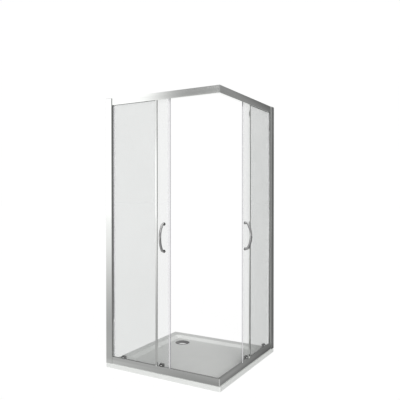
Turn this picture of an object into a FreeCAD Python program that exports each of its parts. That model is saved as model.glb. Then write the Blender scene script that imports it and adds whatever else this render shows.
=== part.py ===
import FreeCAD, Part
import math
import os

# Corner-entry shower enclosure on a low tray, in millimetres, +Z up.
# The origin is the centre of the tray's underside. Walls stand at X = -SIDE/2 and Y = +SIDE/2, and the
# entry is at the corner +X, -Y. The left side lies along -Y. The right side is its mirror image in the
# diagonal through the entry. Each side is drawn with u along it from the wall, v inward from the tray's
# edge, and z upward from the tray's underside.

# Overall sizes
SIDE = 900.0
TRAY_HEIGHT = 30.0
FRAME_HEIGHT = 1850.0
GLASS = 6.0

# Clearances
SEAT = 0.3
RUN = 0.3
AXLE_FIT = 0.05
MITRE_GAP = 0.2

# Tray
TRAY_CORNER = 6.0
TRAY_EDGE = 2.0
RIM_WIDTH = 62.0
BOWL_RUN = 36.0
BOWL_DEPTH = 15.0
BOWL_CORNER = 165.0
BOWL_BACK_CORNER = 42.0
BOWL_FALL = 3.0
BOWL_LIP = 5.0
BOWL_FOOT = 14.0

# Waste
WASTE_FROM_WALL = 190.0
WASTE_HOLE_R = 45.0
FLANGE_R = 57.0
FLANGE_THICK = 2.0
SLEEVE_R = 42.0
SLEEVE_BORE_R = 37.0
SLEEVE_END = 1.0
WASTE_GASKET = 1.5
STRAINER_LEDGE = 3.0
STRAINER_THICK = 2.0
STRAINER_DEPTH = 4.5
STRAINER_HOLE_R = 5.5
STRAINER_HOLES = 10
STRAINER_HOLE_RING = 25.0
STEM_R = 5.0
COVER_R = 55.5
COVER_RISE = 9.0
COVER_WALL = 1.5
COVER_GAP = 3.0
FOOT_R = 3.0
FOOT_RING = 49.0
FOOT_COUNT = 3

# Rails
RAIL_SETBACK = 5.0
RAIL_HEIGHT = 48.0
RAIL_CROWN = 0.8
RAIL_WALL = 1.6
RAIL_BOX = 6.2
POCKET_DEPTH = 36.0
POCKET_LEG = 1.4
TRACK_WIDTH = 2.4
LOWER_TRACK = 26.0
UPPER_TRACK = 10.0
BEAD_R = 6.0
JOINT_LEG = 60.0

# Wall profiles, jambs and stiles
POST_WIDTH = 50.0
POST_DEPTH = 27.0
POST_WALL = 1.6
POST_BACK = 2.0
POST_ROUND = 1.2
CAP_THICK = 3.0
CAP_PLUG = 8.0
UPRIGHT_DEPTH = 9.0
JAMB_START = 8.0
JAMB_END = 50.0
JAMB_GROOVE = 10.0
JAMB_WALL = 1.4
STILE_WIDTH = 12.0
STILE_LAP = 29.9
STILE_GROOVE = 7.0
STILE_ROUND = 1.5
GLASS_BITE = 6.0
GASKET_BASE = 2.0
GASKET_PROUD = 0.6
COVER_STRIP = 1.5
COVER_CLIP = 10.0
COVER_CLIP_WALL = 1.0

# Fixings of the frame
WALL_HOLE_R = 2.75
WALL_HOLES_OUTER = 1550.0
WALL_HOLES_INNER = 520.0
SCREW_R = 2.0
SCREW_HEAD_R = 4.0
SCREW_HEAD = 2.2
SCREW_FIT = 0.05
SCREW_BITE = 3.0
SCREW_FROM_WALL = 22.0
SCREW_FROM_END = 220.0

# Sliding doors
DOOR_WIDTH = 459.0
DOOR_STANDOFF = {"left": 7.1, "right": 0.6}
DOOR_BELOW_TOP = 4.0
DOOR_ABOVE_RIM = 14.0
SEAL_WALL = 1.2
SEAL_CLIP = 10.0
SEAL_NOSE = 8.0
FIN_WALL = 1.0
FIN_GAP = 0.5
SEAL_TO_RAIL = 3.0
ROLLER_FROM_TRAIL = 82.0
ROLLER_FROM_LEAD = 60.0

# Wheels and hangers
WHEEL_R = 12.5
TREAD_R = 10.0
WHEEL_WIDTH = 6.0
WHEEL_FLARE = 0.6
WHEEL_FROM_LEG = 1.1
AXLE_R = 3.0
AXLE_SHORT = 0.3
COLLAR = 0.9
COLLAR_R = 8.0
HANGER_SHANK_R = 6.7
HANGER_DISC_R = 14.0
HANGER_DISC = 5.0
HANGER_NUT_R = 7.0
HANGER_NUT = 4.0
HANGER_ROUND = 1.5

# Lower rollers with lift release
RELEASE_LIFT = 6.0
ROSETTE_R = 21.0
HOUSING_SHANK_R = 9.7
HOUSING_WIDTH = 30.0
HOUSING_DEPTH = 13.5
HOUSING_WALL = 2.5
HOUSING_BELOW = 16.0
HOUSING_ABOVE = 22.0
HOUSING_ROUND = 3.0
SLIDER_SIZE = 16.0
SPRING_ROOM = 5.0
KNOB_R = 4.0
KNOB_HEAD_R = 7.0
KNOB_HEAD = 3.5

# Bow handles
HANDLE_R = 8.5
HANDLE_HEIGHT = 895.0
HANDLE_LENGTH = 197.0
HANDLE_REACH = 41.0
HANDLE_TURN = 60.0
HANDLE_FROM_LEAD = 43.0
HANDLE_SCREW_R = 3.0
HANDLE_HOLE_R = 4.5
HANDLE_SCREW_BITE = 12.0
HANDLE_CAP_R = 11.0
HANDLE_CAP = 6.0
HANDLE_CAP_ROUND = 2.0

# Levels
Z_RIM = TRAY_HEIGHT
Z_SILL = Z_RIM + RAIL_HEIGHT
Z_TOP = Z_RIM + FRAME_HEIGHT
Z_CAP = Z_TOP - CAP_THICK
Z_HEAD = Z_TOP - RAIL_HEIGHT
Z_POCKET_LOW = Z_SILL - POCKET_DEPTH
Z_POCKET_HIGH = Z_HEAD + POCKET_DEPTH
Z_LOW_AXLE = Z_RIM + LOWER_TRACK + RUN + TREAD_R
Z_HIGH_AXLE = Z_HEAD + UPPER_TRACK + RUN + TREAD_R
Z_DOOR_LOW = Z_RIM + DOOR_ABOVE_RIM
Z_DOOR_HIGH = Z_TOP - DOOR_BELOW_TOP
Z_HANDLE = Z_RIM + HANDLE_HEIGHT
Z_MIDDLE = Z_RIM + FRAME_HEIGHT / 2
SCREW_LEVELS = (Z_RIM + SCREW_FROM_END, Z_MIDDLE, Z_TOP - SCREW_FROM_END)

# Depths inward from the tray's edge
V_FRONT = RAIL_SETBACK + RAIL_CROWN
V_POCKET = RAIL_SETBACK + RAIL_BOX
V_LEG = V_POCKET + UPRIGHT_DEPTH + 2 * SEAT
V_LEG_BACK = V_LEG + POCKET_LEG
V_GLAZE = (V_POCKET + V_LEG) / 2
V_WHEEL = V_LEG_BACK + WHEEL_FROM_LEG
V_TRACK = V_WHEEL + WHEEL_WIDTH / 2
V_COLLAR = V_WHEEL + WHEEL_WIDTH + RUN
V_DOOR = V_COLLAR + COLLAR
V_DOOR_BACK = V_DOOR + GLASS
V_BOX_IN = V_FRONT + RAIL_WALL
V_BOX_OUT = V_POCKET - RAIL_WALL

# Places along the side, with the doors closed
U_LEAD = SIDE - MITRE_GAP - V_DOOR_BACK - SEAL_WALL - SEAL_NOSE
U_TRAIL = U_LEAD - DOOR_WIDTH
STILE_END = U_TRAIL + STILE_LAP
U_STILE = STILE_END - STILE_WIDTH
ROLLERS = {"rear": U_TRAIL + ROLLER_FROM_TRAIL, "front": U_LEAD - ROLLER_FROM_LEAD}
U_HANDLE = U_LEAD - HANDLE_FROM_LEAD
HANDLE_SPACING = HANDLE_LENGTH - 2 * HANDLE_R

# A door can open until its fin meets the wall profile or its handle meets the stile.
U_FIN = U_TRAIL + SEAL_CLIP - FIN_WALL
FULL_OPENING = min(U_FIN - POST_WIDTH, U_HANDLE - HANDLE_R - STILE_END)

Vector = FreeCAD.Vector
ORIGIN = Vector(0, 0, 0)
UP = Vector(0, 0, 1)
INWARD = Vector(0, 1, 0)
ALONG = Vector(1, 0, 0)

SAME_POINT = 1e-6

os.makedirs("parts", exist_ok=True)


def at(u, v, z):
    """Point of the left side in the part's frame."""
    return Vector(u - SIDE / 2, v - SIDE / 2, z)


def outline_wire(items, place):
    """Closed wire from (a, b) for a line and (a_mid, b_mid, a_end, b_end) for an arc."""
    pen = place(*items[0])
    edges = []
    for item in items[1:] + items[:1]:
        end = place(*item[-2:])
        if len(item) == 4:
            edges.append(Part.Arc(pen, place(*item[:2]), end).toShape())
        elif pen.distanceToPoint(end) > SAME_POINT:
            edges.append(Part.makeLine(pen, end))
        pen = end
    return Part.Wire(edges)


def rounded(corners):
    """Outline items from corners (a, b, radius), with an arc at each corner that has a radius."""
    items = []
    count = len(corners)
    for index, (a, b, radius) in enumerate(corners):
        if radius == 0:
            items.append((a, b))
            continue
        here = Vector(a, b, 0)
        back = Vector(*corners[index - 1][:2], 0) - here
        ahead = Vector(*corners[(index + 1) % count][:2], 0) - here
        back.normalize()
        ahead.normalize()
        half = back.getAngle(ahead) / 2
        reach = radius / math.tan(half)
        start = here + back * reach
        end = here + ahead * reach
        middle = back + ahead
        middle.normalize()
        middle = here + middle * (radius / math.sin(half) - radius)
        items.append((start.x, start.y))
        items.append((middle.x, middle.y, end.x, end.y))
    return items


def rectangle(a0, a1, b0, b1):
    return [(a0, b0), (a1, b0), (a1, b1), (a0, b1)]


def prism(outlines, place, sweep):
    wires = [outline_wire(outline, place) for outline in outlines]
    return Part.makeFace(wires, "Part::FaceMakerBullseye").extrude(sweep)


def upright(outlines, z0, z1):
    """Prism along z from outlines in (u, v)."""
    return prism(outlines, lambda u, v: at(u, v, z0), UP * (z1 - z0))


def lengthwise(outlines, u0, u1):
    """Prism along u from outlines in (v, z)."""
    return prism(outlines, lambda v, z: at(u0, v, z), ALONG * (u1 - u0))


def block(u0, u1, v0, v1, z0, z1):
    return Part.makeBox(u1 - u0, v1 - v0, z1 - z0, at(u0, v0, z0))


def rod(radius, u, z, v0, v1):
    """Cylinder along v."""
    return Part.makeCylinder(radius, v1 - v0, at(u, v0, z), INWARD)


def slot(radius, u, z0, z1, v0, v1):
    """Round-ended bar along v, with its end centres at z0 and z1."""
    bar = block(u - radius, u + radius, v0, v1, z0, z1)
    return bar.fuse([rod(radius, u, z0, v0, v1), rod(radius, u, z1, v0, v1)]).removeSplitter()


def soften(shape, radius, chosen):
    """Round the edges whose centre of mass is picked by chosen."""
    return shape.makeFillet(radius, [edge for edge in shape.Edges if chosen(edge.CenterOfMass)])


def other_side(shape):
    return shape.mirror(ORIGIN, Vector(1, 1, 0))


def save(node, shape):
    if not shape.isValid():
        raise ValueError(node + " is not a valid shape")
    shape.exportStep("parts/" + node + ".step")


def save_pair(node, shape):
    save(node + "_left", shape)
    save(node + "_right", other_side(shape))


def parked(shape, side):
    """Door piece slid open until it stands off its stop by that side's distance."""
    return shape.translated(ALONG * (DOOR_STANDOFF[side] - FULL_OPENING))


def save_door(node, shape):
    """Door pieces are drawn closed, and each door is stored parked open."""
    save(node + "_left", parked(shape, "left"))
    save(node + "_right", other_side(parked(shape, "right")))


def beyond_mitre():
    """Everything past the mitre plane of the entry corner."""
    reach = SIDE / 4
    corners = [(SIDE - MITRE_GAP, 0), (SIDE + reach, 0), (SIDE + reach, reach), (SIDE - MITRE_GAP - reach, reach)]
    return upright([corners], 0, Z_TOP + RAIL_HEIGHT)


def crowned_front(z0, z1):
    """Last stretch of a rail's outline: down the slightly convex outer face."""
    return [(V_FRONT, z1), (RAIL_SETBACK, (z0 + z1) / 2, V_FRONT, z0)]


def track(crest):
    """Crest of the running rib, from its inner to its outer flank."""
    flat = crest - TRACK_WIDTH / 2
    inner = V_TRACK + TRACK_WIDTH / 2
    outer = V_TRACK - TRACK_WIDTH / 2
    return [(inner, flat), (V_TRACK, crest, outer, flat)]


def finish_rail(outlines):
    """Rail from the wall profile to the mitre, with the corner joint's bead let in."""
    rail = lengthwise(outlines, POST_WIDTH, SIDE)
    bead_seat = block(SIDE - RAIL_SETBACK - BEAD_R - SEAT, SIDE, 0, RAIL_SETBACK + BEAD_R + SEAT, 0, Z_TOP)
    return rail.cut(beyond_mitre()).cut(bead_seat)


def make_bottom_rail():
    inner = V_TRACK + TRACK_WIDTH / 2
    outer = V_TRACK - TRACK_WIDTH / 2
    base = Z_RIM + RAIL_WALL
    outline = [(V_FRONT, Z_RIM), (inner, Z_RIM)] + track(Z_RIM + LOWER_TRACK)
    outline += [(outer, base), (V_LEG_BACK, base), (V_LEG_BACK, Z_SILL), (V_LEG, Z_SILL)]
    outline += [(V_LEG, Z_POCKET_LOW), (V_POCKET, Z_POCKET_LOW), (V_POCKET, Z_SILL)]
    outline += crowned_front(Z_RIM, Z_SILL)
    box = rectangle(V_BOX_IN, V_BOX_OUT, base, Z_SILL - RAIL_WALL)
    under_pocket = rectangle(V_POCKET, V_LEG, base, Z_POCKET_LOW - RAIL_WALL)
    return finish_rail([outline, box, under_pocket])


def make_top_rail():
    inner = V_TRACK + TRACK_WIDTH / 2
    outer = V_TRACK - TRACK_WIDTH / 2
    shelf = Z_HEAD + RAIL_WALL
    roof = Z_TOP - RAIL_WALL
    brow = V_COLLAR + RUN / 3
    outline = [(V_FRONT, Z_HEAD), (V_POCKET, Z_HEAD), (V_POCKET, Z_POCKET_HIGH), (V_LEG, Z_POCKET_HIGH)]
    outline += [(V_LEG, Z_HEAD), (inner, Z_HEAD)] + track(Z_HEAD + UPPER_TRACK)
    outline += [(outer, shelf), (V_LEG_BACK, shelf), (V_LEG_BACK, roof), (brow, roof), (brow, Z_TOP)]
    outline += crowned_front(Z_HEAD, Z_TOP)
    box = rectangle(V_BOX_IN, V_BOX_OUT, shelf, roof)
    over_pocket = rectangle(V_POCKET, V_LEG, Z_POCKET_HIGH + RAIL_WALL, roof)
    return finish_rail([outline, box, over_pocket])


def make_corner_joint(z0, z1):
    """Bracket with a leg in each rail's box, and the rounded outer edge between the rails."""
    low = z0 + RAIL_WALL + SEAT
    high = z1 - RAIL_WALL - SEAT
    thin0 = V_BOX_IN + SEAT
    thin1 = V_BOX_OUT - SEAT
    leg = block(SIDE - JOINT_LEG, SIDE - thin0, thin0, thin1, low, high)
    centre = at(SIDE - RAIL_SETBACK - BEAD_R, RAIL_SETBACK + BEAD_R, z0)
    bead = Part.makeCylinder(BEAD_R, z1 - z0, centre, UP, 90)
    bead.rotate(centre, UP, -90)
    return bead.fuse([leg, other_side(leg)]).removeSplitter()


def make_wall_profile():
    web0 = V_POCKET - POST_WALL
    web1 = V_LEG + POST_WALL
    face = POST_WIDTH - POST_WALL
    corners = [(0, 0, POST_ROUND), (POST_WIDTH, 0, POST_ROUND), (POST_WIDTH, V_POCKET, 0), (POST_BACK, V_POCKET, 0)]
    corners += [(POST_BACK, V_LEG, 0), (POST_WIDTH, V_LEG, 0)]
    corners += [(POST_WIDTH, POST_DEPTH, POST_ROUND), (0, POST_DEPTH, POST_ROUND)]
    front_cell = rectangle(POST_BACK, face, POST_WALL, web0)
    back_cell = rectangle(POST_BACK, face, web1, POST_DEPTH - POST_WALL)
    post = upright([rounded(corners), front_cell, back_cell], Z_RIM, Z_CAP)
    holes = []
    for spacing in (WALL_HOLES_OUTER, WALL_HOLES_INNER):
        for end in (-spacing / 2, spacing / 2):
            start = at(-POST_BACK, V_GLAZE, Z_MIDDLE + end)
            holes.append(Part.makeCylinder(WALL_HOLE_R, 3 * POST_BACK, start, ALONG))
    for z in SCREW_LEVELS:
        holes.append(rod(SCREW_R + SCREW_FIT, SCREW_FROM_WALL, z, V_GLAZE, POST_DEPTH + SCREW_HEAD))
    return post.cut(holes)


def make_post_cap():
    corners = [(0, 0, POST_ROUND), (POST_WIDTH, 0, POST_ROUND)]
    corners += [(POST_WIDTH, POST_DEPTH, POST_ROUND), (0, POST_DEPTH, POST_ROUND)]
    cap = upright([rounded(corners)], Z_CAP, Z_TOP)
    cap = soften(cap, POST_ROUND, lambda centre: centre.z > Z_TOP - SEAT)
    plugs = []
    cells = ((POST_WALL, V_POCKET - POST_WALL), (V_LEG + POST_WALL, POST_DEPTH - POST_WALL))
    for v0, v1 in cells:
        plug = block(POST_BACK + SEAT, POST_WIDTH - POST_WALL - SEAT, v0 + SEAT, v1 - SEAT, Z_CAP - CAP_PLUG, Z_CAP)
        plugs.append(plug)
    return cap.fuse(plugs).removeSplitter()


def make_jamb():
    v0 = V_POCKET + SEAT
    v1 = V_LEG - SEAT
    groove0 = V_GLAZE - GLASS / 2 - SEAT
    groove1 = V_GLAZE + GLASS / 2 + SEAT
    groove = JAMB_END - JAMB_GROOVE
    outline = [(JAMB_START, v0), (JAMB_END, v0), (JAMB_END, groove0), (groove, groove0), (groove, groove1)]
    outline += [(JAMB_END, groove1), (JAMB_END, v1), (JAMB_START, v1)]
    cell = rectangle(JAMB_START + JAMB_WALL, groove - JAMB_WALL, v0 + JAMB_WALL, v1 - JAMB_WALL)
    jamb = upright([outline, cell], Z_POCKET_LOW + SEAT, Z_POCKET_HIGH - SEAT)
    holes = []
    for z in SCREW_LEVELS:
        holes.append(rod(SCREW_R + SCREW_FIT, SCREW_FROM_WALL, z, V_GLAZE, V_LEG))
    return jamb.cut(holes)


def make_stile():
    v0 = V_POCKET + SEAT
    v1 = V_LEG - SEAT
    groove0 = V_GLAZE - GLASS / 2 - SEAT
    groove1 = V_GLAZE + GLASS / 2 + SEAT
    groove = U_STILE + STILE_GROOVE
    corners = [(U_STILE, v0, 0), (STILE_END, v0, STILE_ROUND), (STILE_END, v1, STILE_ROUND), (U_STILE, v1, 0)]
    corners += [(U_STILE, groove1, 0), (groove, groove1, 0), (groove, groove0, 0), (U_STILE, groove0, 0)]
    return upright([rounded(corners)], Z_POCKET_LOW + SEAT, Z_POCKET_HIGH - SEAT)


def make_fixed_glass():
    u0 = JAMB_END - GLASS_BITE
    u1 = U_STILE + GLASS_BITE
    z0 = Z_POCKET_LOW + GASKET_BASE
    z1 = Z_POCKET_HIGH - GASKET_BASE
    return block(u0, u1, V_GLAZE - GLASS / 2, V_GLAZE + GLASS / 2, z0, z1)


def make_gaskets():
    """Rubber channels round the pane's edges in the lower and the upper pocket."""
    strips = []
    for floor, way in ((Z_POCKET_LOW, 1), (Z_POCKET_HIGH, -1)):
        pane = floor + way * GASKET_BASE
        lip = floor + way * (POCKET_DEPTH + GASKET_PROUD)
        outline = [(V_POCKET, floor), (V_LEG, floor), (V_LEG, lip), (V_GLAZE + GLASS / 2, lip)]
        outline += [(V_GLAZE + GLASS / 2, pane), (V_GLAZE - GLASS / 2, pane), (V_GLAZE - GLASS / 2, lip)]
        outline += [(V_POCKET, lip)]
        strips.append(lengthwise([outline], JAMB_END, U_STILE))
    return Part.makeCompound(strips)


def make_cover_strips():
    """Clip-in strips that close the empty pockets along the entry."""
    strips = []
    for mouth, way in ((Z_SILL, -1), (Z_HEAD, 1)):
        under = mouth + way * COVER_STRIP
        tip = mouth + way * COVER_CLIP
        outline = [(V_POCKET, mouth), (V_LEG, mouth), (V_LEG, tip), (V_LEG - COVER_CLIP_WALL, tip)]
        outline += [(V_LEG - COVER_CLIP_WALL, under), (V_POCKET + COVER_CLIP_WALL, under)]
        outline += [(V_POCKET + COVER_CLIP_WALL, tip), (V_POCKET, tip)]
        strips.append(lengthwise([outline], STILE_END + SEAT, SIDE).cut(beyond_mitre()))
    return Part.makeCompound(strips)


def make_frame_screws():
    screws = []
    for z in SCREW_LEVELS:
        tip = V_LEG - SEAT - JAMB_WALL - SCREW_BITE
        shank = rod(SCREW_R, SCREW_FROM_WALL, z, tip, POST_DEPTH)
        head = rod(SCREW_HEAD_R, SCREW_FROM_WALL, z, POST_DEPTH, POST_DEPTH + SCREW_HEAD)
        top = POST_DEPTH + SCREW_HEAD - SIDE / 2
        head = soften(head, SCREW_HEAD / 2, lambda centre: abs(centre.y - top) < SEAT)
        screws.append(shank.fuse(head).removeSplitter())
    return Part.makeCompound(screws)


def make_door_glass():
    pane = block(U_TRAIL, U_LEAD, V_DOOR, V_DOOR_BACK, Z_DOOR_LOW, Z_DOOR_HIGH)
    holes = []
    for u in ROLLERS.values():
        holes.append(rod(HANGER_SHANK_R + SEAT, u, Z_HIGH_AXLE, V_DOOR, V_DOOR_BACK))
        holes.append(rod(HOUSING_SHANK_R + SEAT, u, Z_LOW_AXLE + RELEASE_LIFT / 2, V_DOOR, V_DOOR_BACK))
    for way in (-1, 1):
        holes.append(rod(HANDLE_HOLE_R, U_HANDLE, Z_HANDLE + way * HANDLE_SPACING / 2, V_DOOR, V_DOOR_BACK))
    return pane.cut(holes)


def make_lead_seal():
    """Clip on the leading edge with a nose that meets the other door on the diagonal."""
    outer = V_DOOR - SEAL_WALL
    inner = V_DOOR_BACK + SEAL_WALL
    clip = U_LEAD - SEAL_CLIP
    tip = SIDE - MITRE_GAP
    outline = [(clip, outer), (tip - outer, outer), (tip - inner, inner), (clip, inner), (clip, V_DOOR_BACK)]
    outline += [(U_LEAD, V_DOOR_BACK), (U_LEAD, V_DOOR), (clip, V_DOOR)]
    return upright([outline], Z_DOOR_LOW, Z_DOOR_HIGH)


def make_trail_seal():
    """Clip on the trailing edge with a fin that closes on the fixed pane's back."""
    outer = V_DOOR - SEAL_WALL
    inner = V_DOOR_BACK + SEAL_WALL
    back = U_TRAIL - SEAL_WALL
    clip = U_FIN + FIN_WALL
    fin = V_GLAZE + GLASS / 2 + FIN_GAP
    outline = [(back, outer), (U_FIN, outer), (U_FIN, fin), (clip, fin), (clip, V_DOOR), (U_TRAIL, V_DOOR)]
    outline += [(U_TRAIL, V_DOOR_BACK), (clip, V_DOOR_BACK), (clip, inner), (back, inner)]
    return upright([outline], Z_SILL + SEAL_TO_RAIL, Z_HEAD - SEAL_TO_RAIL)


def make_wheel(u, z):
    """Grooved wheel round its axle hole; the groove leaves the running clearance beside the rib."""
    v0 = V_WHEEL
    v1 = V_WHEEL + WHEEL_WIDTH
    groove = TRACK_WIDTH / 2 + RUN
    flare = groove + WHEEL_FLARE
    profile = [(AXLE_R + AXLE_FIT, v0), (WHEEL_R, v0), (WHEEL_R, V_TRACK - flare), (TREAD_R, V_TRACK - groove)]
    profile += [(TREAD_R, V_TRACK + groove), (WHEEL_R, V_TRACK + flare), (WHEEL_R, v1), (AXLE_R + AXLE_FIT, v1)]
    face = Part.Face(outline_wire(profile, lambda radius, v: at(u + radius, v, z)))
    return face.revolve(at(u, 0, z), INWARD, 360)


def make_top_hanger(u):
    """Axle, collar, shank through the pane, and the disc with its nut inside."""
    z = Z_HIGH_AXLE
    nut_face = V_DOOR_BACK + HANGER_DISC
    disc = rod(HANGER_DISC_R, u, z, V_DOOR_BACK, nut_face)
    disc = soften(disc, HANGER_ROUND, lambda centre: abs(centre.y + SIDE / 2 - nut_face) < SEAT)
    pieces = [rod(AXLE_R, u, z, V_WHEEL + AXLE_SHORT, V_DOOR), rod(COLLAR_R, u, z, V_COLLAR, V_DOOR)]
    pieces.append(rod(HANGER_SHANK_R, u, z, V_DOOR, V_DOOR_BACK))
    pieces.append(rod(HANGER_NUT_R, u, z, nut_face, nut_face + HANGER_NUT))
    return disc.fuse(pieces).removeSplitter()


def make_bottom_housing(u):
    """Rosette outside, shank through the pane and hollow block inside, slotted for the lifting axle."""
    z = Z_LOW_AXLE
    middle = z + RELEASE_LIFT / 2
    back = V_DOOR_BACK + HOUSING_DEPTH
    half = HOUSING_WIDTH / 2
    shell = block(u - half, u + half, V_DOOR_BACK, back, z - HOUSING_BELOW, z + HOUSING_ABOVE)
    shell = soften(shell, HOUSING_ROUND, lambda centre: abs(centre.y + SIDE / 2 - back) < SEAT)
    room = SLIDER_SIZE / 2 + RUN
    ceiling = z + room + RELEASE_LIFT + SPRING_ROOM
    cavity = block(u - room, u + room, V_DOOR_BACK + HOUSING_WALL, back - HOUSING_WALL, z - room, ceiling)
    shank = rod(HOUSING_SHANK_R, u, middle, V_DOOR, V_DOOR_BACK)
    rosette = rod(ROSETTE_R, u, middle, V_COLLAR, V_DOOR)
    axle_slot = slot(AXLE_R + RUN, u, z, z + RELEASE_LIFT, V_COLLAR, V_DOOR_BACK + HOUSING_WALL)
    knob_slot = slot(KNOB_R + RUN, u, z, z + RELEASE_LIFT, back - HOUSING_WALL, back)
    return shell.fuse([shank, rosette]).cut([cavity, axle_slot, knob_slot]).removeSplitter()


def make_bottom_slider(u):
    """Sliding block with the wheel's axle outside and the release knob inside."""
    z = Z_LOW_AXLE
    half = SLIDER_SIZE / 2
    v0 = V_DOOR_BACK + HOUSING_WALL + RUN
    v1 = V_DOOR_BACK + HOUSING_DEPTH - HOUSING_WALL - RUN
    head = V_DOOR_BACK + HOUSING_DEPTH + RUN
    body = block(u - half, u + half, v0, v1, z - half, z + half)
    pieces = [rod(AXLE_R, u, z, V_WHEEL + AXLE_SHORT, v0), rod(KNOB_R, u, z, v1, head)]
    pieces.append(rod(KNOB_HEAD_R, u, z, head, head + KNOB_HEAD))
    return body.fuse(pieces).removeSplitter()


def make_handle():
    """Bow of two tight end bends and one wide arc, swept with a round section."""
    turn = math.radians(HANDLE_TURN)
    half = HANDLE_SPACING / 2
    # The end bend's radius and the wide arc's radius follow from the reach and the centres.
    spread = (1 - math.cos(turn)) * (1 - math.sin(turn)) - math.sin(turn) * math.cos(turn)
    bend = (half * (1 - math.sin(turn)) - HANDLE_REACH * math.cos(turn)) / spread
    wide = (half - bend * (1 - math.cos(turn))) / math.cos(turn)

    def bow(angle, way):
        rise = -half + bend * (1 - math.cos(angle))
        return at(U_HANDLE, V_DOOR - bend * math.sin(angle), Z_HANDLE + way * rise)

    crest = at(U_HANDLE, V_DOOR - HANDLE_REACH, Z_HANDLE)
    lower = Part.Arc(bow(0, 1), bow(turn / 2, 1), bow(turn, 1)).toShape()
    middle = Part.Arc(bow(turn, 1), crest, bow(turn, -1)).toShape()
    upper = Part.Arc(bow(turn, -1), bow(turn / 2, -1), bow(0, -1)).toShape()
    path = Part.Wire([lower, middle, upper])
    section = Part.Wire([Part.makeCircle(HANDLE_R, bow(0, 1), INWARD)])
    bar = path.makePipeShell([section], True, True)
    holes = []
    for way in (-1, 1):
        z = Z_HANDLE + way * half
        holes.append(rod(HANDLE_SCREW_R + SCREW_FIT, U_HANDLE, z, V_DOOR - HANDLE_SCREW_BITE, V_DOOR))
    return bar.cut(holes)


def make_handle_fixings():
    fixings = []
    for way in (-1, 1):
        z = Z_HANDLE + way * HANDLE_SPACING / 2
        crown = V_DOOR_BACK + HANDLE_CAP
        cap = rod(HANDLE_CAP_R, U_HANDLE, z, V_DOOR_BACK, crown)
        cap = soften(cap, HANDLE_CAP_ROUND, lambda centre: abs(centre.y + SIDE / 2 - crown) < SEAT)
        shank = rod(HANDLE_SCREW_R, U_HANDLE, z, V_DOOR - HANDLE_SCREW_BITE + SEAT, V_DOOR_BACK)
        fixings.append(cap.fuse(shank).removeSplitter())
    return Part.makeCompound(fixings)


def bowl_outline(half, inset, z):
    """Square with rounded corners, tighter at the back corner by the waste."""
    wide = BOWL_CORNER - inset
    tight = BOWL_BACK_CORNER - inset
    corners = [(-half, -half, wide), (half, -half, wide), (half, half, wide), (-half, half, tight)]
    return outline_wire(rounded(corners), lambda x, y: Vector(x, y, z))


# The bowl's floor is one plane that falls from the entry to the waste.
RIM_HALF = SIDE / 2 - RIM_WIDTH
FLOOR_HALF = RIM_HALF - BOWL_RUN
FLOOR_TILT = math.atan2(BOWL_FALL, 2 * math.sqrt(2) * FLOOR_HALF)
WASTE_X = WASTE_FROM_WALL - SIDE / 2
WASTE_Y = SIDE / 2 - WASTE_FROM_WALL
Z_WASTE = Z_RIM - BOWL_DEPTH - math.tan(FLOOR_TILT) * (WASTE_Y - WASTE_X) / math.sqrt(2)
Z_FLANGE = Z_WASTE - FLANGE_THICK
Z_RECESS = Z_FLANGE - WASTE_GASKET
Z_STRAINER = Z_WASTE - STRAINER_DEPTH
Z_COVER = Z_WASTE + COVER_GAP


def disc(radius, z0, z1):
    return Part.makeCylinder(radius, z1 - z0, Vector(WASTE_X, WASTE_Y, z0))


def make_tray():
    slab = Part.makeBox(SIDE, SIDE, TRAY_HEIGHT, Vector(-SIDE / 2, -SIDE / 2, 0))
    slab = soften(slab, TRAY_CORNER, lambda centre: abs(abs(centre.x) - abs(centre.y)) < 1 and centre.z > 1)
    slab = soften(slab, TRAY_EDGE, lambda centre: centre.z > TRAY_HEIGHT - SEAT)
    mouth = bowl_outline(RIM_HALF, 0, Z_RIM)
    floor = bowl_outline(FLOOR_HALF, BOWL_RUN, Z_RIM - BOWL_DEPTH)
    floor.rotate(Vector(0, 0, Z_RIM - BOWL_DEPTH), Vector(-1, -1, 0), math.degrees(FLOOR_TILT))
    bowl = Part.makeLoft([mouth, floor], True, True)
    bowl = soften(bowl, BOWL_FOOT, lambda centre: centre.z < Z_RIM - BOWL_DEPTH / 2)
    inside = SIDE / 2 - RIM_WIDTH / 2
    slab = slab.cut(bowl)
    slab = soften(slab, BOWL_LIP, lambda centre: centre.z > Z_RIM - SEAT and max(abs(centre.x), abs(centre.y)) < inside)
    recess = disc(FLANGE_R + SEAT, Z_RECESS, Z_RIM)
    return slab.cut([recess, disc(WASTE_HOLE_R, 0, Z_RIM)])


def make_waste_flange():
    flange = disc(FLANGE_R, Z_FLANGE, Z_WASTE).fuse(disc(SLEEVE_R, SLEEVE_END, Z_FLANGE))
    seat = disc(SLEEVE_BORE_R + STRAINER_LEDGE, Z_STRAINER, Z_WASTE)
    return flange.cut([disc(SLEEVE_BORE_R, 0, Z_WASTE), seat]).removeSplitter()


def make_waste_gasket():
    return disc(FLANGE_R, Z_RECESS, Z_FLANGE).cut(disc(SLEEVE_R + SEAT, Z_RECESS, Z_FLANGE))


def make_waste_strainer():
    plate = disc(SLEEVE_BORE_R + STRAINER_LEDGE - SEAT, Z_STRAINER, Z_STRAINER + STRAINER_THICK)
    holes = [disc(STEM_R + RUN, Z_STRAINER, Z_WASTE)]
    for index in range(STRAINER_HOLES):
        angle = 2 * math.pi * index / STRAINER_HOLES
        centre = Vector(WASTE_X, WASTE_Y, Z_STRAINER)
        centre += Vector(math.cos(angle), math.sin(angle), 0) * STRAINER_HOLE_RING
        holes.append(Part.makeCylinder(STRAINER_HOLE_R, STRAINER_THICK, centre))
    return plate.cut(holes)


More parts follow.
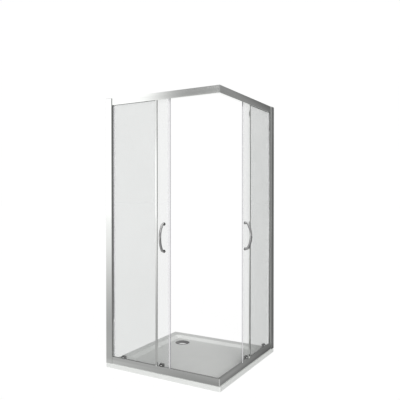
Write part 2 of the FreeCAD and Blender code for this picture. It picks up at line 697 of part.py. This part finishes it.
def make_waste_cover():
    """Dome on three feet, with a stem in the strainer's middle hole."""
    ball = (COVER_R ** 2 + COVER_RISE ** 2) / (2 * COVER_RISE)
    centre = Vector(WASTE_X, WASTE_Y, Z_COVER + COVER_RISE - ball)
    cap = Part.makeSphere(ball, centre).common(disc(COVER_R, Z_COVER, Z_COVER + COVER_RISE))
    dome = cap.cut(Part.makeSphere(ball - COVER_WALL, centre))
    under = Z_COVER + COVER_RISE - COVER_WALL
    pieces = [disc(STEM_R, Z_STRAINER, under)]
    for index in range(FOOT_COUNT):
        angle = 2 * math.pi * index / FOOT_COUNT
        foot = Vector(WASTE_X, WASTE_Y, Z_WASTE) + Vector(math.cos(angle), math.sin(angle), 0) * FOOT_RING
        pieces.append(Part.makeCylinder(FOOT_R, under - Z_WASTE, foot).common(Part.makeSphere(ball, centre)))
    return dome.fuse(pieces).removeSplitter()


save("tray", make_tray())
save("waste_flange", make_waste_flange())
save("waste_gasket", make_waste_gasket())
save("waste_strainer", make_waste_strainer())
save("waste_cover", make_waste_cover())
save("top_corner_joint", make_corner_joint(Z_HEAD, Z_TOP))
save("bottom_corner_joint", make_corner_joint(Z_RIM, Z_SILL))

save_pair("wall_profile", make_wall_profile())
save_pair("post_cap", make_post_cap())
save_pair("jamb_profile", make_jamb())
save_pair("top_rail", make_top_rail())
save_pair("bottom_rail", make_bottom_rail())
save_pair("glazing_gasket", make_gaskets())
save_pair("cover_strips", make_cover_strips())
save_pair("fixed_glass", make_fixed_glass())
save_pair("panel_stile", make_stile())
save_pair("frame_screws", make_frame_screws())

save_door("door_glass", make_door_glass())
save_door("lead_seal", make_lead_seal())
save_door("trail_seal", make_trail_seal())
save_door("handle", make_handle())
save_door("handle_fixings", make_handle_fixings())
for place, u in ROLLERS.items():
    save_door("top_hanger_" + place, make_top_hanger(u))
    save_door("top_wheel_" + place, make_wheel(u, Z_HIGH_AXLE))
    save_door("bottom_housing_" + place, make_bottom_housing(u))
    save_door("bottom_slider_" + place, make_bottom_slider(u))
    save_door("bottom_wheel_" + place, make_wheel(u, Z_LOW_AXLE))
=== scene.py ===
import math

import bmesh
import bpy
from mathutils import Euler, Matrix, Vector


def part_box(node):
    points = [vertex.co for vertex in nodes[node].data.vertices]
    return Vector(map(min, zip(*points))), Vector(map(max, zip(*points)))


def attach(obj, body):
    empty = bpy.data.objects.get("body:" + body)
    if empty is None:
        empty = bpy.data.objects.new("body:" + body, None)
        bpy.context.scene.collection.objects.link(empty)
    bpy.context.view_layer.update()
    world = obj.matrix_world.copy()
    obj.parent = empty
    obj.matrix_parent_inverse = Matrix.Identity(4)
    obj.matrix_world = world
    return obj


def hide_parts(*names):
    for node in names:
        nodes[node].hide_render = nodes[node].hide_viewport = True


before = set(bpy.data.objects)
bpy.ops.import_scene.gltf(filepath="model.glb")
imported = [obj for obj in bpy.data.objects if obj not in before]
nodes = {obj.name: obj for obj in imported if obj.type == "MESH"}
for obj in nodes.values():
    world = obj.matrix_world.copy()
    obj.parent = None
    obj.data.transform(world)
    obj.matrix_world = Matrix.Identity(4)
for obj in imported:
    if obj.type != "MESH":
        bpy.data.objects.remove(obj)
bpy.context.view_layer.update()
scene = bpy.context.scene

# Lengths are in metres and angles in degrees.
SIDES = ("left", "right")
SPOTS = ("front", "rear")
WHITE = (1.0, 1.0, 1.0, 1.0)
# sides of each circle
TURN_STEPS = 48


def grey(level):
    return (level, level, level, 1.0)


# Half the side of the tray, which is square round the origin
TRAY_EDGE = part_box("tray")[1][0]

# Camera. The azimuth turns from looking along +Y towards looking along -X.
CAMERA_PLACE = (1.8115, -3.0820, 1.2028)
CAMERA_AZIMUTH = 29.72
CAMERA_PITCH = 0.506
CAMERA_LENS = 43.75
CAMERA_SENSOR = 36.0

# Studio light. A level of 1 renders a colour about as it is written.
AMBIENT_LEVEL = 0.30
BACKDROP_LEVEL = 1.006
# azimuth, elevation, level
LAMPS = {"key": (38.0, 24.0, 0.92), "back": (216.0, 16.0, 0.10), "top": (0.0, 90.0, 0.06)}
LAMP_ANGLE = 30.0

# Floor. It throws light back with its own colour, but looks white, with a trace of the shadows on it.
FLOOR_REACH = 60.0
FLOOR_COLOUR = grey(0.60)
FLOOR_GLOW = 0.932
FLOOR_SHADE = grey(0.10)
# Painted shade: a dark disc on the floor under the waste, standing in for the dark inside the drain, which
# shows through the strainer's holes
DRAIN_SHADE_RADIUS = 0.046
DRAIN_SHADE_HEIGHT = 0.0003

# Grey cards round the part, which only reflections show. Level 1 is white.
CARD_DISTANCE = 25.0
CARD_HEIGHT = 22.0
# turn of the columns at the floor and at the top
CARD_LEAN = (1.3, -3.2)
# The levels change over this band of heights. The top rails mirror what is above it.
CARD_BAND = (3.4, 4.8)
# azimuth, level below the band, level above it
FRONT_CARD = [
    (-140.0, 0.3, 0.3), (-58.0, 0.35, 0.35), (-50.0, 1.2, 1.2), (-35.8, 1.2, 1.2), (-34.5, 1.2, 0.89),
    (-33.3, 1.2, 0.66), (-32.1, 1.2, 0.46), (-30.9, 1.0, 0.35), (-29.6, 1.0, 0.34), (-26.4, 1.0, 0.38),
    (-24.9, 1.0, 0.36), (-24.1, 1.2, 1.2), (-21.8, 1.2, 1.2), (-21.2, 0.3, 0.18), (-18.0, 0.3, 0.18),
    (-6.0, 0.25, 0.25), (10.0, 0.3, 0.3), (20.0, 0.7, 0.62), (42.0, 0.7, 0.62), (52.0, 0.3, 0.3),
    (66.0, 0.2, 0.2), (86.0, 0.2, 0.2), (92.0, 0.9, 0.9), (104.0, 0.9, 0.9), (112.0, 0.3, 0.3),
]
BACK_CARD = [
    (112.0, 0.3, 0.3), (135.0, 0.25, 0.25), (141.4, 0.25, 0.28), (142.4, 0.02, 0.02), (146.8, 0.02, 0.02),
    (149.5, 0.14, 0.30), (151.2, 0.18, 0.30), (153.6, 0.16, 0.30), (154.5, 0.15, 0.27), (156.5, 0.14, 0.21),
    (158.5, 0.14, 0.14), (165.0, 0.13, 0.13), (176.0, 0.2, 0.2), (220.0, 0.25, 0.25),
]
# Bright card before the front card's upper part, for the handles' upper halves: azimuth, level
HANDLE_CARD = [(8.0, 0.3), (18.0, 1.3), (44.0, 1.3), (54.0, 0.3)]
HANDLE_CARD_DISTANCE = 24.0
HANDLE_CARD_HEIGHTS = (8.6, 22.0)

# Grey mats on the floor, which only reflections show too
MAT_HEIGHT = 0.0006
# X of the far left, the left, the middle and the right; the far left has the left's levels
FRONT_MAT_PLACES = (-16.0, -0.6, 0.1, 0.46)
# depth before the tray, level at the left, in the middle and at the right
FRONT_MAT = [
    (0.0, 0.55, 0.33, 0.29), (0.095, 0.54, 0.33, 0.29), (0.155, 0.42, 0.34, 0.34), (0.34, 0.43, 0.41, 0.40),
    (0.85, 0.41, 0.41, 0.41), (1.17, 0.44, 0.44, 0.44), (2.05, 0.55, 0.55, 0.55), (3.45, 0.70, 0.70, 0.70),
    (6.1, 0.88, 0.88, 0.88), (12.8, 1.0, 1.0, 1.0),
]
# Y of the corner, the middle, the post and the far back; the far back has the post's levels
RIGHT_MAT_PLACES = (-TRAY_EDGE, -0.1, TRAY_EDGE, 24.0)
# depth beside the tray, level at the corner, in the middle and at the post
RIGHT_MAT = [
    (0.0, 0.24, 0.20, 0.11), (0.045, 0.25, 0.21, 0.12), (0.06, 0.28, 0.26, 0.15), (0.08, 0.29, 0.30, 0.17),
    (0.2, 0.28, 0.26, 0.14), (16.0, 0.28, 0.26, 0.14),
]
# Mat out from the tray's corner, which rounded metal mirrors: distance, level
CORNER_MAT = [(0.0, 0.65), (0.25, 0.65), (0.5, 0.32), (16.0, 0.32)]

# Noise in the materials. Its scales are cycles per metre.
NOISE_DETAIL = 3.0
FINE_DETAIL = 2.0
# values that map to the ends of a range, and to the darker and the lighter colour
NOISE_RANGE = (0.3, 0.7)
CLOUD_STOPS = (0.35, 0.65)
CLOUD_SCALE = 9.0
EVEN = (1.0, 1.0, 1.0)
# A ray's count of bounces is a whole number, so it is above this after any bounce.
ANY_BOUNCE = 0.5

# Metals: colour, least and most roughness
ALUMINIUM = ((0.893, 0.906, 0.889, 1.0), (0.07, 0.13))
CHROME = (grey(0.64), (0.03, 0.07))
STEEL = (grey(0.62), (0.2, 0.3))
# The lines from drawing run along the axis with the small scale.
DRAWN_UP = (1.0, 1.0, 0.02)
DRAWN_ALONG = {"left": (0.02, 1.0, 1.0), "right": (1.0, 0.02, 1.0)}
LINE_SCALE = 60.0
LINE_DEPTH = 0.00001
LINE_STRENGTH = 0.3

# Plastics and rubber: darker and lighter colour, least and most roughness, grains per metre, grain depth
PLASTICS = {
    "tray_acrylic": ((0.740, 0.753, 0.737, 1.0), (0.760, 0.773, 0.757, 1.0), (0.3, 0.4), 900.0, 0.00002),
    "gasket_rubber": (grey(0.05), grey(0.07), (0.55, 0.7), 1500.0, 0.00004),
    "glazing_rubber": (grey(0.16), grey(0.20), (0.55, 0.7), 1500.0, 0.00004),
    "seal_magnet": ((0.285, 0.28, 0.305, 1.0), (0.315, 0.31, 0.335, 1.0), (0.4, 0.5), 1200.0, 0.00002),
    "seal_web": (grey(0.84), grey(0.87), (0.4, 0.5), 1200.0, 0.00002),
    "wheel_nylon": (grey(0.70), grey(0.74), (0.35, 0.45), 1200.0, 0.00002),
    "housing_plastic": (grey(0.05), grey(0.06), (0.35, 0.45), 1400.0, 0.00003),
    "roller_plastic": (grey(0.13), grey(0.15), (0.35, 0.45), 1200.0, 0.00002),
    "pale_plastic": (grey(0.25), grey(0.28), (0.35, 0.45), 1200.0, 0.00002),
    "trim_plastic": ((0.275, 0.28, 0.273, 1.0), (0.295, 0.30, 0.293, 1.0), (0.4, 0.5), 1200.0, 0.00002),
}
GRAIN_STRENGTH = 0.5

# Glass. Its low index keeps what it mirrors faint, and a haze adds a little white. Lamps shine through it.
GLASS_COLOURS = ((0.877, 0.884, 0.880, 1.0), (0.887, 0.894, 0.890, 1.0))
GLASS_CLOUD_SCALE = 2.0
GLASS_INDEX = 1.18
GLASS_HAZE = 0.032
GLASS_SHADE = grey(0.985)

# Milky clear vinyl: a share of it shows, the rest is seen through with a tint.
VINYL_COLOURS = ((0.80, 0.79, 0.84, 1.0), (0.84, 0.83, 0.88, 1.0))
VINYL_ROUGHNESS = 0.3
VINYL_SHARE = 0.012
VINYL_TINT = (0.995, 0.993, 0.997, 1.0)

# Door seals, which stay a hair off the glass
HAIR = 0.0001
FIN_WALL = 0.001
# The leading seal's magnet, in from the slanted nose and behind the outer face
MAGNET_IN = (0.0006, 0.0044)
MAGNET_BEHIND = (0.0005, 0.0020)
# The leading seal's web, in from the slot for the glass and past the slot's faces
WEB_IN = (0.0003, 0.0015)
WEB_PAST = 0.0002
# Magnet and web stop short of the seal's ends.
CORE_SHORT = 0.004

# Bead that wedges the fixed glass into the jamb: distance past the jamb, distance before the glass
BEAD = [(0.0001, 0.0001), (0.0001, 0.0011), (0.0008, 0.0014), (0.0021, 0.0011), (0.0034, 0.0001)]
# Trim on the wall profile, and its end beside the top rail: distance past the jamb, depth from the front
TRIM = [
    (0.0001, 0.0006), (0.0005, 0.0011), (0.0006, 0.0030),
    (0.0006, 0.0090), (0.0005, 0.0107), (0.0001, 0.0112),
]
TRIM_END = [
    (0.0001, 0.0006), (0.0005, 0.0011), (0.0006, 0.0022),
    (0.0006, 0.0035), (0.0005, 0.0043), (0.0001, 0.0047),
]
# Bead and trim stop this far from the rails.
RAIL_GAP = 0.0002

# Turned profile of the bearing in each wheel: radius, height over the wheel's face
BEARING = [
    (0.0032, -0.0001), (0.0032, 0.0004), (0.0044, 0.0004), (0.0047, 0.0002),
    (0.0061, 0.0002), (0.0064, 0.0004), (0.0074, 0.0004), (0.0074, -0.0001),
]
# Turned profile of the ring round each lower roller: radius, height over the housing's face
RING = [
    (0.0135, 0.0), (0.0135, 0.0002), (0.0166, 0.0002), (0.0166, 0.0009),
    (0.0172, 0.0014), (0.0203, 0.0014), (0.0209, 0.0009), (0.0209, 0.0),
]
# height of the ring's centre over the wheel's
RING_LIFT = 0.003
# edges sharper than this stay sharp
SMOOTH_ANGLE = 35.0


class Look:
    """A material and its node tree, with short ways to add nodes."""

    def __init__(self, name):
        self.material = bpy.data.materials.new(name)
        self.material.use_nodes = True
        self.begin(self.material.node_tree, "OutputMaterial")

    def begin(self, tree, output):
        """Empties a node tree and gives it an output."""
        self.tree = tree
        self.tree.nodes.clear()
        self.output = self.add(output)

    def feed(self, value, target):
        """Joins an output to an input, or sets the input to a plain value."""
        if isinstance(value, bpy.types.NodeSocket):
            self.tree.links.new(value, target)
        else:
            target.default_value = value

    def add(self, kind, **values):
        """Node of a kind, with a value for each input that is named."""
        node = self.tree.nodes.new("ShaderNode" + kind)
        for name, value in values.items():
            self.feed(value, node.inputs[name.replace("_", " ")])
        return node

    def show(self, shader):
        self.feed(shader.outputs[0], self.output.inputs["Surface"])

    def mix(self, share, first, second):
        """Blend of two shaders, from the share of the second."""
        node = self.add("MixShader", Fac=share)
        self.feed(first.outputs[0], node.inputs[1])
        self.feed(second.outputs[0], node.inputs[2])
        return node

    def maths(self, operation, first, second):
        node = self.add("Math")
        node.operation = operation
        self.feed(first, node.inputs[0])
        self.feed(second, node.inputs[1])
        return node.outputs["Value"]

    def ray(self, fact):
        return self.add("LightPath").outputs[fact]

    def first_sight(self):
        """1 for rays from the camera, mirrors and glass, before any diffuse bounce."""
        seen = self.ray("Is Camera Ray")
        for fact in ("Is Glossy Ray", "Is Transmission Ray"):
            seen = self.maths("MAXIMUM", seen, self.ray(fact))
        direct = self.maths("LESS_THAN", self.ray("Diffuse Depth"), ANY_BOUNCE)
        return self.maths("MULTIPLY", seen, direct)

    def noise(self, scale, detail, stretch=EVEN):
        """Noise in the object's own metres; stretch scales each axis."""
        mapping = self.add("Mapping", Vector=self.add("TexCoord").outputs["Object"], Scale=stretch)
        texture = self.add("TexNoise", Vector=mapping.outputs["Vector"], Scale=scale, Detail=detail)
        return texture.outputs["Fac"]

    def spread(self, noise, ends):
        """Maps a noise to the range between two ends."""
        ramp = self.add("MapRange", Value=noise, From_Min=NOISE_RANGE[0], From_Max=NOISE_RANGE[1])
        self.feed(ends[0], ramp.inputs["To Min"])
        self.feed(ends[1], ramp.inputs["To Max"])
        return ramp.outputs["Result"]

    def clouds(self, scale, colours):
        """Colour that drifts between a darker and a lighter one."""
        ramp = self.add("ValToRGB", Fac=self.noise(scale, NOISE_DETAIL))
        for i, (position, colour) in enumerate(zip(CLOUD_STOPS, colours)):
            ramp.color_ramp.elements[i].position = position
            ramp.color_ramp.elements[i].color = colour
        return ramp.outputs["Color"]

    def bump(self, height, distance, strength):
        return self.add("Bump", Height=height, Distance=distance, Strength=strength).outputs["Normal"]


class WorldLook(Look):
    """The same helpers on the world's node tree."""

    def __init__(self, name):
        world = bpy.data.worlds.new(name)
        world.use_nodes = True
        scene.world = world
        self.begin(world.node_tree, "OutputWorld")


def make_metal(name, colour, roughness, stretch=EVEN):
    """Bright metal with faint lines from drawing, or evenly polished."""
    look = Look(name)
    lines = look.noise(LINE_SCALE, FINE_DETAIL, stretch)
    shader = look.add("BsdfPrincipled", Base_Color=colour, Metallic=1.0)
    look.feed(look.spread(lines, roughness), shader.inputs["Roughness"])
    look.feed(look.bump(lines, LINE_DEPTH, LINE_STRENGTH), shader.inputs["Normal"])
    look.show(shader)
    return look.material


def make_plastic(name, darker, lighter, roughness, grain, depth):
    """Moulded plastic or rubber with a fine grain."""
    look = Look(name)
    fine = look.noise(grain, FINE_DETAIL)
    shader = look.add("BsdfPrincipled", Base_Color=look.clouds(CLOUD_SCALE, (darker, lighter)))
    look.feed(look.spread(fine, roughness), shader.inputs["Roughness"])
    look.feed(look.bump(fine, depth, GRAIN_STRENGTH), shader.inputs["Normal"])
    look.show(shader)
    return look.material


def make_glass(name):
    look = Look(name)
    shader = look.add("BsdfPrincipled", Roughness=0.0, IOR=GLASS_INDEX, Transmission_Weight=1.0)
    look.feed(look.clouds(GLASS_CLOUD_SCALE, GLASS_COLOURS), shader.inputs["Base Color"])
    hazy = look.mix(GLASS_HAZE, shader, look.add("BsdfDiffuse", Color=WHITE))
    clear = look.add("BsdfTransparent", Color=GLASS_SHADE)
    look.show(look.mix(look.ray("Is Shadow Ray"), hazy, clear))
    return look.material


def make_vinyl(name):
    look = Look(name)
    shader = look.add("BsdfPrincipled", Roughness=VINYL_ROUGHNESS)
    look.feed(look.clouds(CLOUD_SCALE, VINYL_COLOURS), shader.inputs["Base Color"])
    clear = look.add("BsdfTransparent", Color=VINYL_TINT)
    look.show(look.mix(VINYL_SHARE, clear, shader))
    return look.material


def make_world():
    look = WorldLook("studio")
    light = look.add("Background", Color=WHITE, Strength=AMBIENT_LEVEL)
    backdrop = look.add("Background", Color=WHITE, Strength=BACKDROP_LEVEL)
    look.show(look.mix(look.first_sight(), light, backdrop))


def direction(azimuth, elevation):
    """Unit vector; azimuth 0 is -Y and 90 is +X."""
    a = math.radians(azimuth)
    e = math.radians(elevation)
    return Vector((math.sin(a) * math.cos(e), -math.cos(a) * math.cos(e), math.sin(e)))


def make_lamp(name, azimuth, elevation, level):
    """Wide distant lamp, so that the floor is lit evenly."""
    data = bpy.data.lights.new(name, "SUN")
    data.angle = math.radians(LAMP_ANGLE)
    data.energy = level * math.pi
    lamp = bpy.data.objects.new(name, data)
    lamp.rotation_euler = direction(azimuth, elevation).to_track_quat("Z", "Y").to_euler()
    lamp.visible_camera = False
    lamp.visible_glossy = False
    lamp.visible_transmission = False
    scene.collection.objects.link(lamp)


def make_camera():
    data = bpy.data.cameras.new("camera")
    data.lens = CAMERA_LENS
    data.sensor_width = CAMERA_SENSOR
    camera = bpy.data.objects.new("camera", data)
    camera.location = CAMERA_PLACE
    camera.rotation_euler = Euler((math.radians(90 - CAMERA_PITCH), 0.0, math.radians(CAMERA_AZIMUTH)))
    scene.collection.objects.link(camera)
    scene.camera = camera


def mesh_object(name, points, faces):
    mesh = bpy.data.meshes.new(name)
    mesh.from_pydata(points, [], faces)
    thing = bpy.data.objects.new(name, mesh)
    scene.collection.objects.link(thing)
    return thing


def circle():
    """Cosine and sine of each step round a circle."""
    turns = [2 * math.pi * step / TURN_STEPS for step in range(TURN_STEPS)]
    return [(math.cos(turn), math.sin(turn)) for turn in turns]


def make_floor():
    look = Look("floor")
    lit = look.add("BsdfDiffuse", Color=FLOOR_COLOUR)
    glow = look.add("Emission", Color=WHITE, Strength=FLOOR_GLOW)
    shade = look.add("BsdfDiffuse", Color=FLOOR_SHADE)
    shown = look.add("AddShader")
    look.feed(glow.outputs[0], shown.inputs[0])
    look.feed(shade.outputs[0], shown.inputs[1])
    look.show(look.mix(look.first_sight(), lit, shown))
    look.material.cycles.emission_sampling = "NONE"
    r = FLOOR_REACH
    floor = mesh_object("floor", [(-r, -r, 0), (r, -r, 0), (r, r, 0), (-r, r, 0)], [(0, 1, 2, 3)])
    floor.data.materials.append(look.material)


def make_drain_shade(material):
    low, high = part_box("waste_flange")
    x, y, _ = (low + high) / 2
    points = [(x + DRAIN_SHADE_RADIUS * c, y + DRAIN_SHADE_RADIUS * s, DRAIN_SHADE_HEIGHT) for c, s in circle()]
    # Painted shade: this dark disc stands in for the unlit inside of the drain
    drain = mesh_object("painted_drain_shade", points, [tuple(range(TURN_STEPS))])
    drain.data.materials.append(material)


def make_card_look(name):
    """Glows with the mesh's level where it is mirrored, and is clear elsewhere."""
    look = Look(name)
    level = look.add("Attribute")
    level.attribute_name = "level"
    glow = look.add("Emission", Strength=level.outputs["Fac"])
    mirrored = look.maths("GREATER_THAN", look.ray("Glossy Depth"), ANY_BOUNCE)
    look.show(look.mix(mirrored, look.add("BsdfTransparent"), glow))
    look.material.cycles.emission_sampling = "NONE"
    return look.material


def make_card(name, rows):
    """Grey card that only reflections show; each row holds (point, level) pairs."""
    count = len(rows[0])
    starts = [row * count + column for row in range(len(rows) - 1) for column in range(count - 1)]
    faces = [(i, i + 1, i + 1 + count, i + count) for i in starts]
    card = mesh_object(name, [point for row in rows for point, _ in row], faces)
    levels = card.data.attributes.new("level", "FLOAT", "POINT")
    levels.data.foreach_set("value", [level for row in rows for _, level in row])
    card.data.materials.append(make_card_look(name))
    card.visible_camera = False
    card.visible_diffuse = False
    card.visible_volume_scatter = False
    card.visible_shadow = False


def far_point(azimuth, distance, height):
    return direction(azimuth, 0) * distance + Vector((0, 0, height))


def make_wall_card(name, columns):
    """Upright card round the part, from (azimuth, low level, high level) columns that lean a little."""
    rows = []
    for height in (0.0, *CARD_BAND, CARD_HEIGHT):
        lean = CARD_LEAN[0] + (CARD_LEAN[1] - CARD_LEAN[0]) * height / CARD_HEIGHT
        row = []
        for azimuth, low, high in columns:
            level = low if height <= CARD_BAND[0] else high
            row.append((far_point(azimuth + lean, CARD_DISTANCE, height), level))
        rows.append(row)
    make_card(name, rows)


def make_handle_card():
    rows = []
    for height in HANDLE_CARD_HEIGHTS:
        row = []
        for azimuth, level in HANDLE_CARD:
            row.append((far_point(azimuth, HANDLE_CARD_DISTANCE, height), level))
        rows.append(row)
    make_card("handle_card", rows)


def make_mats():
    rows = []
    for depth, left, middle, right in FRONT_MAT:
        y = -TRAY_EDGE - depth
        levels = (left, left, middle, right)
        rows.append([((x, y, MAT_HEIGHT), level) for x, level in zip(FRONT_MAT_PLACES, levels)])
    make_card("front_mat", rows)
    rows = []
    for depth, corner, middle, post in RIGHT_MAT:
        x = TRAY_EDGE + depth
        levels = (corner, middle, post, post)
        rows.append([((x, y, MAT_HEIGHT), level) for y, level in zip(RIGHT_MAT_PLACES, levels)])
    make_card("right_mat", rows)
    rows = []
    for front, front_level in CORNER_MAT:
        row = []
        for beside, beside_level in CORNER_MAT:
            point = (TRAY_EDGE + beside, -TRAY_EDGE - front, MAT_HEIGHT)
            row.append((point, min(front_level, beside_level)))
        rows.append(row)
    make_card("corner_mat", rows)


def place(side, u, v, z):
    """Point from the distance along a side, the depth behind the tray's edge and the height."""
    if side == "left":
        return Vector((u - TRAY_EDGE, v - TRAY_EDGE, z))
    return Vector((TRAY_EDGE - v, TRAY_EDGE - u, z))


def reach(side, node):
    """A node's ranges: along the side, in depth behind the tray's edge, and in height."""
    low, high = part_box(node)
    if side == "left":
        along = (low[0] + TRAY_EDGE, high[0] + TRAY_EDGE)
        depth = (low[1] + TRAY_EDGE, high[1] + TRAY_EDGE)
    else:
        along = (TRAY_EDGE - high[1], TRAY_EDGE - low[1])
        depth = (TRAY_EDGE - high[0], TRAY_EDGE - low[0])
    return along, depth, (low[2], high[2])


def finish_piece(piece, body, material, smooth=False):
    """Turns the faces outward, sets the shading and hands the piece to its body."""
    shape = bmesh.new()
    shape.from_mesh(piece.data)
    bmesh.ops.recalc_face_normals(shape, faces=shape.faces)
    shape.to_mesh(piece.data)
    shape.free()
    if smooth:
        piece.data.shade_smooth()
        piece.data.set_sharp_from_angle(angle=math.radians(SMOOTH_ANGLE))
    piece.data.materials.append(material)
    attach(piece, body)


def make_bar(name, side, outline, ends):
    """Upright bar from an outline of (u, v) points."""
    count = len(outline)
    points = [place(side, u, v, z) for z in ends for u, v in outline]
    faces = [(i, (i + 1) % count, (i + 1) % count + count, i + count) for i in range(count)]
    faces += [tuple(range(count)), tuple(range(count, 2 * count))]
    return mesh_object(name, points, faces)


def make_ring(name, side, centre, face, profile):
    """Ring on a face, round an axis square to the side, from a closed profile of (radius, height) points."""
    u, z = centre
    count = len(profile)
    points = []
    for c, s in circle():
        points += [place(side, u + r * c, face - height, z + r * s) for r, height in profile]
    faces = []
    for step in range(TURN_STEPS):
        here = step * count
        there = (step + 1) % TURN_STEPS * count
        for i in range(count):
            j = (i + 1) % count
            faces.append((here + i, here + j, there + j, there + i))
    return mesh_object(name, points, faces)


def rectangle(us, vs):
    return [(us[0], vs[0]), (us[1], vs[0]), (us[1], vs[1]), (us[0], vs[1])]


def glass_slot(side):
    """Ranges along the side and in depth that the seals leave to the door's glass."""
    along, depth, _ = reach(side, "door_glass_" + side)
    return [(low - HAIR, high + HAIR) for low, high in (along, depth)]


def make_lead_seal(side, strip, magnet, web):
    """Mitred strip on the door's leading edge, with a magnet in its nose and a white web at the glass."""
    node = "lead_seal_" + side
    body = "door_" + side
    (clip, nose), (outer, inner), (bottom, top) = reach(side, node)
    (_, edge), (front, back) = glass_slot(side)
    outline = [(clip, outer), (nose, outer), (nose - (inner - outer), inner), (clip, inner), (clip, back)]
    outline += [(edge, back), (edge, front), (clip, front)]
    piece = make_bar("lead_strip_" + side, side, outline, (bottom, top))
    finish_piece(piece, body, strip)
    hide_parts(node)
    core_ends = (bottom + CORE_SHORT, top - CORE_SHORT)
    insets = rectangle(MAGNET_IN, MAGNET_BEHIND)
    outline = [(nose - behind - inset, outer + behind) for inset, behind in insets]
    piece = make_bar("lead_magnet_" + side, side, outline, core_ends)
    finish_piece(piece, body, magnet)
    insets = rectangle(WEB_IN, (front - WEB_PAST, back + WEB_PAST))
    outline = [(edge + inset, depth) for inset, depth in insets]
    piece = make_bar("lead_web_" + side, side, outline, core_ends)
    finish_piece(piece, body, web)


def make_trail_seal(side, strip):
    """Strip on the door's trailing edge, with a fin towards the fixed pane."""
    node = "trail_seal_" + side
    (start, clip), (fin, inner), ends = reach(side, node)
    outer = reach(side, "lead_seal_" + side)[1][0]
    (edge, _), (front, back) = glass_slot(side)
    outline = [(start, outer), (clip - FIN_WALL, outer), (clip - FIN_WALL, fin), (clip, fin)]
    outline += [(clip, front), (edge, front), (edge, back), (clip, back), (clip, inner), (start, inner)]
    piece = make_bar("trail_strip_" + side, side, outline, ends)
    finish_piece(piece, "door_" + side, strip)
    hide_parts(node)


def make_upright_trims(side, bead, trim):
    """Dark bead beside the fixed glass, and grey trim on the wall profile."""
    jamb = reach(side, "jamb_profile_" + side)[0][1]
    glass_face = reach(side, "fixed_glass_" + side)[1][0]
    _, (front, _), (_, post_top) = reach(side, "wall_profile_" + side)
    bottom = reach(side, "bottom_rail_" + side)[2][1] + RAIL_GAP
    top = reach(side, "top_rail_" + side)[2][0] - RAIL_GAP
    outline = [(jamb + past, glass_face - before) for past, before in BEAD]
    piece = make_bar("jamb_bead_" + side, side, outline, (bottom, top))
    finish_piece(piece, "frame", bead)
    trims = {"post_trim_": (TRIM, (bottom, top)), "post_trim_top_": (TRIM_END, (top, post_top))}
    for name, (points, ends) in trims.items():
        outline = [(jamb + past, front + depth) for past, depth in points]
        piece = make_bar(name + side, side, outline, ends)
        finish_piece(piece, "frame", trim)


def make_bearing(side, wheel, name, material):
    """Bearing in a wheel; returns the wheel's centre, along the side and in height."""
    along, (face, _), heights = reach(side, wheel)
    centre = (sum(along) / 2, sum(heights) / 2)
    piece = make_ring(name, side, centre, face, BEARING)
    finish_piece(piece, wheel, material, smooth=True)
    return centre


def make_roller_trims(side, spot, bearing, ring):
    """Bearings in an upper and a lower wheel, and a dark ring round the lower one."""
    end = "_" + spot + "_" + side
    make_bearing(side, "top_wheel" + end, "top_bearing" + end, bearing)
    u, z = make_bearing(side, "bottom_wheel" + end, "bottom_bearing" + end, bearing)
    face = reach(side, "bottom_housing" + end)[1][0]
    piece = make_ring("roller_ring" + end, side, (u, z + RING_LIFT), face, RING)
    finish_piece(piece, "door_" + side, ring, smooth=True)


def wear(node, material):
    """Gives a CAD node a better material."""
    slots = nodes[node].data.materials
    slots.clear()
    slots.append(material)


# Materials
upright_metal = make_metal("aluminium_upright", *ALUMINIUM, DRAWN_UP)
chrome = make_metal("chrome", *CHROME)
steel = make_metal("steel", *STEEL)
glass = make_glass("toughened_glass")
vinyl = make_vinyl("seal_vinyl")
plastic = {name: make_plastic(name, *values) for name, values in PLASTICS.items()}

# CAD nodes
wear("tray", plastic["tray_acrylic"])
wear("waste_flange", chrome)
wear("waste_cover", chrome)
wear("waste_strainer", steel)
wear("waste_gasket", plastic["gasket_rubber"])
wear("top_corner_joint", upright_metal)
wear("bottom_corner_joint", upright_metal)
for side in SIDES:
    rail_metal = make_metal("aluminium_" + side, *ALUMINIUM, DRAWN_ALONG[side])
    looks = {
        "wall_profile": upright_metal, "jamb_profile": upright_metal, "panel_stile": upright_metal,
        "top_rail": rail_metal, "bottom_rail": rail_metal, "cover_strips": rail_metal,
        "fixed_glass": glass, "door_glass": glass, "glazing_gasket": plastic["glazing_rubber"],
        "post_cap": chrome, "handle": chrome, "handle_fixings": chrome, "frame_screws": steel,
    }
    for spot in SPOTS:
        looks["top_hanger_" + spot] = chrome
        looks["top_wheel_" + spot] = plastic["wheel_nylon"]
        looks["bottom_housing_" + spot] = plastic["roller_plastic"]
        looks["bottom_slider_" + spot] = plastic["pale_plastic"]
        looks["bottom_wheel_" + spot] = plastic["wheel_nylon"]
    for name, material in looks.items():
        wear(name + "_" + side, material)

# Pieces
for side in SIDES:
    make_lead_seal(side, vinyl, plastic["seal_magnet"], plastic["seal_web"])
    make_trail_seal(side, vinyl)
for side in SIDES:
    make_upright_trims(side, plastic["gasket_rubber"], plastic["trim_plastic"])
for side in SIDES:
    for spot in SPOTS:
        make_roller_trims(side, spot, steel, plastic["housing_plastic"])

# Stage
make_world()
make_floor()
# Painted shade for the dark inside of the drain, a disc on the floor under the waste
make_drain_shade(plastic["gasket_rubber"])
for name, lamp in LAMPS.items():
    make_lamp(name, *lamp)
make_wall_card("front_card", FRONT_CARD)
make_wall_card("back_card", BACK_CARD)
make_mats()
make_handle_card()
make_camera()
scene.view_settings.view_transform = "Standard"
